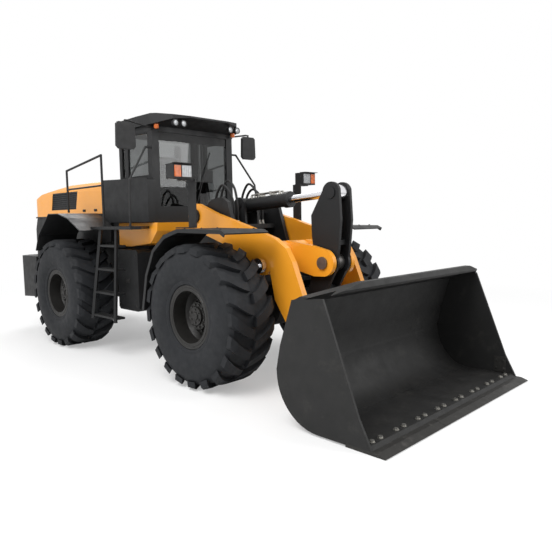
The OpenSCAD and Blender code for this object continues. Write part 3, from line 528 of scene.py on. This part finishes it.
def make_camera(scene, view):
    """The camera at the photograph's angle, rolled a little about its line of sight."""
    heading, pitch, roll = map(math.radians, CAMERA_TURN)
    ahead = Vector((math.cos(pitch) * math.cos(heading), math.cos(pitch) * math.sin(heading), math.sin(pitch)))
    level = Vector((math.sin(heading), -math.cos(heading), 0.0))
    upright = level.cross(ahead)
    right = level * math.cos(roll) + upright * math.sin(roll)
    up = -level * math.sin(roll) + upright * math.cos(roll)
    cam = bpy.data.cameras.new("camera")
    cam.lens = view.lens
    cam.sensor_width = 36.0
    ob = bpy.data.objects.new("camera", cam)
    scene.collection.objects.link(ob)
    ob.matrix_world = Matrix.Translation(view.place) @ Matrix((right, up, -ahead)).transposed().to_4x4()
    scene.camera = ob


class LOADER_OT_stage(bpy.types.Operator):
    """Make the floor, the lights and the camera at the photograph's angle"""
    bl_idname = "loader.stage"
    bl_label = "Stage"

    def execute(self, context):
        scene = context.scene
        scene.view_settings.view_transform = "Standard"
        make_floor(scene, scene.loader_view.ground)
        make_sky(scene)
        make_lamps(scene)
        make_camera(scene, scene.loader_view)
        return {"FINISHED"}


class LOADER_OT_paint(bpy.types.Operator):
    """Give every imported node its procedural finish"""
    bl_idname = "loader.paint"
    bl_label = "Paint"

    def execute(self, context):
        make_finishes(context.scene.loader_paint)
        slots = {s["node"]: s["material_slot"] for s in frame["record"]["subparts"]}
        for node, ob in frame["nodes"].items():
            if slots[node] not in FINISH:
                raise RuntimeError("There is no finish for %s" % slots[node])
            for s in ob.material_slots:
                s.material = FINISH[slots[node]]
        return {"FINISHED"}


class LOADER_OT_tyres(bpy.types.Operator):
    """Mould the tyres: sidewall, shoulder and swept lugs"""
    bl_idname = "loader.tyres"
    bl_label = "Tyres"

    def execute(self, context):
        tread = context.scene.loader_tread
        base = TYRE_RADIUS - tread.depth
        half = TYRE_SIDE + [(base - 0.012, 0.27), (base, 0.2), (base + 0.002, 0.1), (base + 0.003, 0.0)]
        inside = [(TYRE_INSIDE, -0.2), (TYRE_INSIDE, 0.2)]
        ring = half + [(r, -y) for r, y in reversed(half[:-1])] + inside
        lugs = [self.lugs(flank, base, tread) for flank in (1, -1)]
        for name, (x, side) in WHEELS.items():
            bm = bmesh.new()
            turned(bm, ring, 96)
            for mesh in lugs:
                bm.from_mesh(mesh)
            bmesh.ops.translate(bm, vec=(x, side * WHEEL_Y, WHEEL_Z), verts=bm.verts)
            ob = finish_piece(bm, "tyre_tread_" + name, "wheel_" + name, "tyre_rubber")
            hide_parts("tyre_" + name)
        return {"FINISHED"}

    def lugs(self, flank, base, tread):
        """One flank's bars, each from the centre line over the shoulder with its outer end trailing and wider."""
        bm = bmesh.new()
        bmesh.ops.create_cube(bm, size=1.0)
        edges = [e for e in bm.edges if abs(e.verts[0].co.y - e.verts[1].co.y) > 0.5]
        bmesh.ops.subdivide_edges(bm, edges=edges, cuts=9, use_grid_fill=True)
        pitch = math.tau / tread.lugs
        start = 0.0 if flank > 0 else 0.5 * pitch
        for v in bm.verts:
            s = max(0.0, v.co.y + 0.5)  # 0 at the centre line, 1 at the shoulder
            high = v.co.z > 0
            top = TYRE_RADIUS - 0.0036 * s * s - max(0.0, s - 0.8) * 0.16
            low = LUG_END if s > 0.95 else base - 0.02 - max(0.0, s - 0.85) * 0.25
            width = pitch * (0.46 + 0.16 * s) * (LUG_TAPER if high else 1.0)
            angle = start - tread.sweep * (s ** 1.35) + v.co.x * width
            r = top if high else low
            v.co = Vector((r * math.sin(angle), flank * (0.012 + s * 0.315), r * math.cos(angle)))
        bmesh.ops.recalc_face_normals(bm, faces=bm.faces)
        bmesh.ops.spin(bm, geom=bm.verts[:] + bm.edges[:] + bm.faces[:], cent=(0, 0, 0), axis=(0, 1, 0),
                       angle=math.tau - pitch, steps=tread.lugs - 1, use_duplicate=True)
        mesh = bpy.data.meshes.new("lugs")
        bm.to_mesh(mesh)
        bm.free()
        return mesh


class LOADER_OT_rims(bpy.types.Operator):
    """Bolt circles, hub cover, lock ring and valve on each rim"""
    bl_idname = "loader.rims"
    bl_label = "Rims"

    def execute(self, context):
        trim = context.scene.loader_trim
        for name, (x, side) in WHEELS.items():
            bm = bmesh.new()
            for count, circle, out, size in RIM_BOLTS:
                for i in range(count):
                    a = math.tau * (i + 0.5) / count
                    foot = (x + circle * math.cos(a), side * (WHEEL_Y + out), WHEEL_Z + circle * math.sin(a))
                    add_bolt(bm, foot, (0, side, 0), trim.wheel_bolt * size, 0.02 * size)
            finish_piece(bm, "wheel_bolts_" + name, "wheel_" + name, "bolt_dark", smooth=False)
            bm = bmesh.new()
            turned(bm, [(0.338, 0.262), (0.352, 0.268), (0.36, 0.278), (0.352, 0.2885), (0.338, 0.286)], 72)
            turned(bm, [(0.118, 0.149), (0.132, 0.149), (0.132, 0.156), (0.118, 0.159)], 48)
            turned(bm, [(0.0, 0.184), (0.05, 0.184), (0.05, 0.194), (0.042, 0.2), (0.0, 0.2)], 32)
            if side < 0:
                bmesh.ops.scale(bm, vec=(1, -1, 1), verts=bm.verts)
                bmesh.ops.reverse_faces(bm, faces=bm.faces)
            bmesh.ops.translate(bm, vec=(x, side * WHEEL_Y, WHEEL_Z), verts=bm.verts)
            valve = (x + 0.29, WHEEL_Z + 0.05)
            add_rod(bm, (valve[0], side * (WHEEL_Y + 0.05), valve[1]), (valve[0], side * (WHEEL_Y + 0.13), valve[1]),
                    0.007, 12)
            finish_piece(bm, "rim_ring_" + name, "wheel_" + name, "rim_paint")
        return {"FINISHED"}


class LOADER_OT_hoses(bpy.types.Operator):
    """Hydraulic hoses behind the boom tower and the steel lines on the tilt cylinder"""
    bl_idname = "loader.hoses"
    bl_label = "Hoses"

    def execute(self, context):
        trim = context.scene.loader_trim
        for i, (y, high, lean) in enumerate(HOSES):
            out = y + lean
            knots = [at(1.15, y, 2.02), at(1.09, y, 2.02), at(0.985, out, 2.12), at(0.97, out, 2.34),
                     at(1.1, out, high), at(1.25, out, high - 0.09), at(1.315, y, 2.24), at(1.32, y, 2.05),
                     at(1.32, y, 1.961)]
            line = smooth_line(knots, 10)
            bm = bmesh.new()
            add_tube(bm, line, trim.hose, 14)
            hose = finish_piece(bm, "tower_hose_%d" % (i + 1), "front_frame", "hose_rubber")
            bm = bmesh.new()
            for end, away in ((knots[0], Vector((-0.05, 0, 0))), (knots[-1], Vector((0, 0, 0.055)))):
                add_rod(bm, end, end + away, trim.hose * 1.25, 20)
                add_rod(bm, end, end + away.normalized() * 0.022, trim.hose * 1.6, 6)
            ends = finish_piece(bm, "hose_ends_%d" % (i + 1), "front_frame", "bolt_zinc", smooth=False)
        self.cylinder_lines()
        return {"FINISHED"}

    def cylinder_lines(self):
        """Two steel lines along the top of the tilt cylinder, with their unions and clamps."""
        foot, head = at(TILT_FOOT[0], 0, TILT_FOOT[1]), at(TILT_HEAD[0], 0, TILT_HEAD[1])
        along = (head - foot).normalized()
        up = Vector((-along.z, 0, along.x))

        def over(k, height, y):
            return foot + along * k + up * height + Vector((0, y, 0))

        bm = bmesh.new()
        for y in (-0.035, 0.035):
            route = ((0.17, 0.085), (0.17, 0.118), (0.22, 0.124), (0.5, 0.124), (0.66, 0.124), (0.71, 0.118),
                     (0.71, 0.085))
            add_tube(bm, smooth_line([over(k, height, y) for k, height in route], 6), 0.011, 12)
            for k in (0.17, 0.71):
                add_rod(bm, over(k, 0.08, y), over(k, 0.112, y), 0.02, 6)
        for k in (0.33, 0.55):
            add_box(bm, over(k, 0.088, -0.055) + Vector((-0.02, 0, 0)), over(k, 0.138, 0.055) + Vector((0.02, 0, 0)))
        finish_piece(bm, "tilt_cylinder_lines", "tilt_barrel", "bolt_zinc")


class LOADER_OT_bucket_trim(bpy.types.Operator):
    """Liner, gusset, edge bolts and corner plates of the bucket"""
    bl_idname = "loader.bucket_trim"
    bl_label = "Bucket trim"

    def execute(self, context):
        pairs = context.scene.loader_trim.edge_bolts
        bm = bmesh.new()
        outer = bucket_curve([BUCKET_WALL] * len(LINER))
        inner = bucket_curve([BUCKET_WALL + t for t in LINER])
        add_prism(bm, outer + inner[::-1], -BUCKET_INSIDE, BUCKET_INSIDE)
        add_prism(bm, GUARD_GUSSET, BUCKET_INSIDE - 0.022, BUCKET_INSIDE - 0.002)
        finish_piece(bm, "bucket_liner", "bucket", "bucket_grey")
        bm = bmesh.new()
        for i in range(pairs):
            y = -1.35 + 2.7 * i / (pairs - 1)
            for dy in (-0.065, 0.065):
                add_bolt(bm, at(4.395, y + dy, 0.0605), (0, 0, 1), 0.022, 0.02)
        finish_piece(bm, "edge_bolts", "bucket", "bolt_zinc", smooth=False)
        bm = bmesh.new()
        for side in SIDES:
            add_box(bm, at(4.21, side * BUCKET_INSIDE, 0.062), at(4.36, side * 1.5125, 0.26))
            for x, z in ((4.24, 0.11), (4.33, 0.11), (4.24, 0.21), (4.33, 0.21)):
                add_bolt(bm, at(x, side * 1.512, z), (0, -side, 0), 0.014, 0.012)
        finish_piece(bm, "corner_plates", "bucket", "wear_steel", bevel=0.002)
        return {"FINISHED"}


class LOADER_OT_lamps(bpy.types.Operator):
    """Lenses, visors and rings of the lamps, the two marker lamps and the radio mast"""
    bl_idname = "loader.lamps"
    bl_label = "Lamps"

    def execute(self, context):
        for side, tag in ((-1, "right"), (1, "left")):
            self.front_lamp(side, tag)
        self.roof_lamps()
        bm = bmesh.new()
        for side in SIDES:
            turned(bm, [(0.0, 0.0), (0.035, 0.0), (0.035, 0.045), (0.028, 0.06), (0.0, 0.066)], 28, (0, 0, -1),
                   at(0.19, side * 0.72, 3.4035))
        finish_piece(bm, "marker_lamps", "rear_frame", "lamp_amber")
        bm = bmesh.new()
        turned(bm, [(0.0, 0.0), (0.016, 0.0), (0.016, 0.03), (0.006, 0.04), (0.0, 0.04)], 20, (0, 0, 1),
               at(-0.82, -0.52, 3.488))
        add_rod(bm, at(-0.82, -0.52, 3.5), at(-0.86, -0.52, 3.545), 0.0035, 8)
        finish_piece(bm, "radio_mast", "rear_frame", "trim_plastic")
        return {"FINISHED"}

    def front_lamp(self, side, tag):
        """The ribbed clear and amber lenses of one lamp on the front frame, and its visor."""
        for finish, a, b in (("lamp_clear", 1.055, 1.195), ("lamp_amber", 1.21, 1.305)):
            bm = bmesh.new()
            add_box(bm, at(1.4195, side * a, 2.56), at(1.429, side * b, 2.7))
            for k in range(5):
                y = a + (b - a) * (k + 0.5) / 5
                add_rod(bm, at(1.4295, side * y, 2.565), at(1.4295, side * y, 2.695), 0.0035, 8)
            finish_piece(bm, "%s_%s" % (finish, tag), "front_frame", finish, bevel=0.003)
        bm = bmesh.new()
        add_box(bm, at(1.36, side * 1.034, 2.7205), at(1.475, side * 1.326, 2.727))
        add_box(bm, at(1.4205, side * 1.198, 2.555), at(1.432, side * 1.207, 2.705))
        finish_piece(bm, "lamp_visor_" + tag, "front_frame", "trim_plastic", bevel=0.002)

    def roof_lamps(self):
        """Round lenses and rings in front, and the flat ones at the back of the roof."""
        lenses, rings = bmesh.new(), bmesh.new()
        for side in SIDES:
            for y in (0.44, 0.58):
                place = at(ROOF_FRONT, side * y, 3.405)
                turned(lenses, [(0.0, 0.0), (0.0405, 0.0), (0.0405, 0.004), (0.03, 0.009), (0.0, 0.012)], 28,
                       (1, 0, 0), place)
                turned(rings, [(0.041, 0.0), (0.0485, 0.0), (0.0485, 0.011), (0.041, 0.011)], 28, (1, 0, 0), place)
            y = side * 0.56
            add_box(lenses, at(-0.9445, y - 0.047, 3.412), at(-0.9395, y + 0.047, 3.458))
            add_box(rings, at(-0.947, y - 0.053, 3.459), at(-0.93, y + 0.053, 3.463))
        finish_piece(lenses, "roof_lamp_lenses", "rear_frame", "lamp_clear", bevel=0.001)
        finish_piece(rings, "roof_lamp_rings", "rear_frame", "trim_plastic", bevel=0.001)


class LOADER_OT_cab_trim(bpy.types.Operator):
    """Sun strip, wiper, seals, mirror glass, and the controls by the seat"""
    bl_idname = "loader.cab_trim"
    bl_label = "Cab trim"

    def execute(self, context):
        self.windows()
        self.mirrors()
        self.controls()
        return {"FINISHED"}

    def windows(self):
        bm = bmesh.new()
        add_box(bm, at(0.1002, -0.637, 3.2), at(0.1022, 0.637, 3.317))
        finish_piece(bm, "sun_strip", "rear_frame", "trim_plastic", smooth=False)
        bm = bmesh.new()
        add_rod(bm, at(0.104, 0.02, 2.27), at(0.122, 0.02, 2.27), 0.02, 20)
        add_tube(bm, smooth_line([at(0.119, 0.02, 2.27), at(0.121, 0.1, 2.5), at(0.116, 0.2, 2.8)], 8), 0.006, 10)
        add_tube(bm, smooth_line([at(0.108, 0.07, 2.5), at(0.107, 0.2, 2.8), at(0.108, 0.31, 3.08)], 8), 0.007, 10)
        finish_piece(bm, "wiper", "rear_frame", "trim_plastic")
        bm = bmesh.new()
        for lo, hi in (((-0.556, 2.684), (0.016, 3.316)), ((-0.736, 2.684), (-0.624, 3.316))):
            add_frame(bm, lo, hi, -0.7395, -0.7605, 0.014)
        finish_piece(bm, "window_seals", "rear_frame", "hose_rubber", bevel=0.002)
        bm = bmesh.new()
        add_frame(bm, (-0.526, 2.264), (-0.034, 3.276), 0.72, 0.7585, 0.014)
        finish_piece(bm, "door_seal", "cab_door", "hose_rubber", bevel=0.002)

    def mirrors(self):
        """A slightly domed glass in each mirror."""
        bm = bmesh.new()
        for side in SIDES:
            made = bmesh.ops.create_grid(bm, x_segments=8, y_segments=8, size=0.5)
            bmesh.ops.scale(bm, vec=(0.31, 0.25, 1), verts=made["verts"])
            bmesh.ops.rotate(bm, matrix=Matrix.Rotation(-math.pi / 2, 3, "Y"), verts=made["verts"])
            for v in made["verts"]:
                v.co.x -= 0.003 * (1 - (v.co.y / 0.13) ** 2) * (1 - (v.co.z / 0.16) ** 2)
            bmesh.ops.translate(bm, vec=at(0.0545, side * 1.16, 3.215), verts=made["verts"])
        finish_piece(bm, "mirror_glass", "rear_frame", "mirror_face")

    def controls(self):
        bm = bmesh.new()
        add_box(bm, at(-0.6, -0.42, 2.0605), at(-0.2, -0.3, 2.52))
        add_box(bm, at(-0.56, -0.4, 2.52), at(-0.3, -0.31, 2.56))
        finish_piece(bm, "armrest", "rear_frame", "trim_plastic", bevel=0.015)
        bm = bmesh.new()
        for x in (-0.25, -0.29, -0.33):
            stem = [at(x, -0.355, 2.55), at(x + 0.01, -0.355, 2.6), at(x + 0.02, -0.35, 2.64)]
            add_tube(bm, smooth_line(stem, 5), 0.006, 10)
            made = bmesh.ops.create_uvsphere(bm, u_segments=16, v_segments=10, radius=0.016)
            bmesh.ops.translate(bm, vec=at(x + 0.02, -0.35, 2.65), verts=made["verts"])
        turned(bm, [(0.0, 0.0), (0.035, 0.0), (0.03, 0.02), (0.0, 0.026)], 24, (-0.57, 0, 0.82), at(-0.098, 0, 2.658))
        finish_piece(bm, "hand_controls", "rear_frame", "trim_plastic")
        bm = bmesh.new()
        add_box(bm, at(0.0, 0.2, 2.62), at(0.03, 0.42, 2.82))
        add_rod(bm, at(0.095, 0.31, 2.235), at(0.015, 0.31, 2.64), 0.012, 12)
        finish_piece(bm, "display", "rear_frame", "trim_plastic", bevel=0.006)


class LOADER_OT_seat(bpy.types.Operator):
    """The seat's filled cushions, puffed out by a short cloth simulation"""
    bl_idname = "loader.seat"
    bl_label = "Seat"

    def execute(self, context):
        for name, lo, hi in CUSHIONS:
            lo, hi = at(*lo), at(*hi)
            bm = bmesh.new()
            add_box(bm, lo, hi)
            bmesh.ops.subdivide_edges(bm, edges=bm.edges[:], cuts=13, use_grid_fill=True)
            if name == "back_cushion":
                for v in bm.verts:
                    v.co.x -= (v.co.z - lo.z) * BACK_LEAN
            mesh = bpy.data.meshes.new("cushion_cut")
            bm.to_mesh(mesh)
            bm.free()
            ob = bpy.data.objects.new("cushion_cut", mesh)
            context.scene.collection.objects.link(ob)
            if name == "seat_cushion":
                held = [v.index for v in mesh.vertices if v.co.z < lo.z + 0.001]
            else:
                held = [v.index for v in mesh.vertices if v.co.x < lo.x - (v.co.z - lo.z) * BACK_LEAN + 0.001]
            self.puff(context.scene, ob, held)
            shape = bpy.data.meshes.new_from_object(ob.evaluated_get(context.evaluated_depsgraph_get()))
            bpy.data.objects.remove(ob)
            context.scene.frame_set(1)
            bm = bmesh.new()
            bm.from_mesh(shape)
            piece = finish_piece(bm, name, "rear_frame", "seat_cloth")
        return {"FINISHED"}

    def puff(self, scene, ob, held):
        """Blows a cushion up by pressure, with the held points kept where they are."""
        cloth = ob.modifiers.new("fill", "CLOTH")
        cloth.settings.quality = 6
        cloth.settings.mass = 0.3
        cloth.settings.tension_stiffness = 40
        cloth.settings.bending_stiffness = 2
        cloth.settings.use_pressure = True
        cloth.settings.uniform_pressure_force = 4
        cloth.settings.effector_weights.gravity = 0
        ob.vertex_groups.new(name="held").add(held, 1.0, "REPLACE")
        cloth.settings.vertex_group_mass = "held"
        for f in range(1, 13):
            scene.frame_set(f)


class LOADER_OT_pin_plates(bpy.types.Operator):
    """Round keeper plates with bolts on the pins of the lift gear"""
    bl_idname = "loader.pin_plates"
    bl_label = "Pin plates"

    def execute(self, context):
        for name, body, x, z, y, r in PLATES:
            cover = [(0.0, -0.001), (r * 0.62, -0.001), (r * 0.62, 0.006), (r * 0.5, 0.011), (r * 0.2, 0.012),
                     (r * 0.16, 0.006), (0.0, 0.006)]
            bm = bmesh.new()
            for side in SIDES:
                turned(bm, cover, 32, (0, side, 0), at(x, side * y, z))
                for a in map(math.radians, (30, 150, 270)):
                    foot = at(x + math.cos(a) * r * 0.8, side * y, z + math.sin(a) * r * 0.8)
                    add_bolt(bm, foot, (0, side, 0), r * 0.1, r * 0.12)
            finish_piece(bm, name + "_plates", body, "bolt_dark")
        return {"FINISHED"}


class LOADER_OT_step_grip(bpy.types.Operator):
    """Raised grip studs on the steps and platforms, and the feet of the rails"""
    bl_idname = "loader.step_grip"
    bl_label = "Step grip"

    def execute(self, context):
        stud = context.scene.loader_trim.stud
        bm = bmesh.new()
        for side in SIDES:
            for i in range(4):
                z = 0.6 + i * 0.35
                k = (z - 0.56) / 1.36  # 0 at the ladder's foot, 1 at the platform
                for u in range(12):
                    for v in range(3):
                        x = -0.79 + 0.17 * k + u * 0.054 * (1 - 0.25 * k)
                        y = 1.19 - 0.103 * k + v * 0.05
                        add_stud(bm, at(x, side * y, z + 0.0298), stud)
            for u in range(18):
                for v in range(7):
                    add_stud(bm, at(-0.8 + u * 0.05, side * (0.86 + v * 0.06), PLATFORM_TOP), stud)
        finish_piece(bm, "grip_studs", "rear_frame", "body_black", smooth=False)
        bm = bmesh.new()
        for side in SIDES:
            turned(bm, [(0.016, 0.0), (0.034, 0.0), (0.034, 0.008), (0.024, 0.012), (0.016, 0.012)], 24, (0, 0, 1),
                   at(0.23, side * 1.23, PLATFORM_TOP + 0.0005))
        finish_piece(bm, "rail_feet", "rear_frame", "body_black")
        return {"FINISHED"}


class LOADER_OT_cover_trim(bpy.types.Operator):
    """Latches, screens, handles and bolts on the hood, the side boxes, the fenders and the exhaust"""
    bl_idname = "loader.cover_trim"
    bl_label = "Cover trim"

    def execute(self, context):
        bolt = context.scene.loader_trim.cover_bolt
        self.hood_trim()
        bm = bmesh.new()
        for side in SIDES:
            for x in (-0.6, -0.14):
                for z in (0.76, 1.52):
                    add_bolt(bm, at(x, side * SIDE_BOX, z), (0, side, 0), bolt, 0.01)
            add_box(bm, at(-0.42, side * (SIDE_BOX - 0.0005), 1.1), at(-0.3, side * (SIDE_BOX + 0.006), 1.16))
            add_box(bm, at(-0.4, side * (SIDE_BOX + 0.0055), 1.12), at(-0.32, side * (SIDE_BOX + 0.018), 1.14))
        finish_piece(bm, "box_latches", "rear_frame", "bolt_dark", bevel=0.001)
        bm = bmesh.new()
        for side in SIDES:
            for y in (0.9, 1.15, 1.4):
                for x, z in ((1.72, 1.9235), (2.38, 1.9165)):
                    add_bolt(bm, at(x, side * y, z), (0, 0, 1), bolt, 0.01)
        finish_piece(bm, "fender_bolts", "front_frame", "bolt_dark", smooth=False)
        bm = bmesh.new()
        turned(bm, [(0.0605, 0.0), (0.068, 0.0), (0.068, 0.03), (0.0605, 0.03)], 40, (0, 0, 1), at(-1.0, 0.48, 3.02))
        add_box(bm, at(-0.94, 0.47, 3.022), at(-0.915, 0.49, 3.048))
        finish_piece(bm, "exhaust_clamp", "rear_frame", "bolt_zinc", bevel=0.001)
        return {"FINISHED"}

    def hood_trim(self):
        """The hood's latches, and the screens behind its side and tail grilles."""
        bm = bmesh.new()
        for side in SIDES:
            for x in (-1.6, -2.0):
                add_box(bm, at(x - 0.05, side * (HOOD_SIDE - 0.0005), 2.2),
                        at(x + 0.05, side * (HOOD_SIDE + 0.006), 2.24))
                add_box(bm, at(x - 0.03, side * (HOOD_SIDE + 0.005), 2.212),
                        at(x + 0.03, side * (HOOD_SIDE + 0.017), 2.228))
        finish_piece(bm, "hood_latches", "hood", "trim_plastic", bevel=0.002)
        bm = bmesh.new()
        for side in SIDES:
            add_prism(bm, SIDE_SCREEN, side * 0.7542, side * 0.7572)
            for k in range(25):
                x = -3.27 + k * 0.04
                add_rod(bm, at(x, side * 0.7582, 2.255), at(x + 0.075, side * 0.7582, 2.555), 0.001, 6)
        add_prism(bm, TAIL_SCREEN, -0.4795, 0.4795)
        finish_piece(bm, "grille_screens", "hood", "trim_plastic", smooth=False)


class LOADER_PT_panel(bpy.types.Panel):
    """Lists the loader's sizes, colours and steps"""
    bl_label = "Loader"
    bl_idname = "LOADER_PT_panel"
    bl_space_type = "VIEW_3D"
    bl_region_type = "UI"
    bl_category = "Loader"

    def draw(self, context):
        scene = context.scene
        for group in (scene.loader_paint, scene.loader_tread, scene.loader_trim, scene.loader_view):
            for key in group.bl_rna.properties.keys():
                if key not in ("rna_type", "name"):
                    self.layout.prop(group, key)
        for op in STEPS:
            self.layout.operator(op.bl_idname)


STEPS = (
    LOADER_OT_stage, LOADER_OT_paint, LOADER_OT_hoses, LOADER_OT_tyres, LOADER_OT_rims, LOADER_OT_bucket_trim,
    LOADER_OT_lamps, LOADER_OT_cab_trim, LOADER_OT_seat, LOADER_OT_pin_plates, LOADER_OT_step_grip,
    LOADER_OT_cover_trim,
)
CLASSES = (LoaderPaint, LoaderTread, LoaderTrim, LoaderView) + STEPS + (LOADER_PT_panel,)


def register():
    for c in CLASSES:
        bpy.utils.register_class(c)
    bpy.types.Scene.loader_paint = bpy.props.PointerProperty(type=LoaderPaint)
    bpy.types.Scene.loader_tread = bpy.props.PointerProperty(type=LoaderTread)
    bpy.types.Scene.loader_trim = bpy.props.PointerProperty(type=LoaderTrim)
    bpy.types.Scene.loader_view = bpy.props.PointerProperty(type=LoaderView)


def unregister():
    for key in ("loader_paint", "loader_tread", "loader_trim", "loader_view"):
        delattr(bpy.types.Scene, key)
    for c in reversed(CLASSES):
        bpy.utils.unregister_class(c)


def main():
    register()
    for op in STEPS:
        group, name = op.bl_idname.split(".")
        getattr(getattr(bpy.ops, group), name)()


if __name__ == "__main__":
    main()
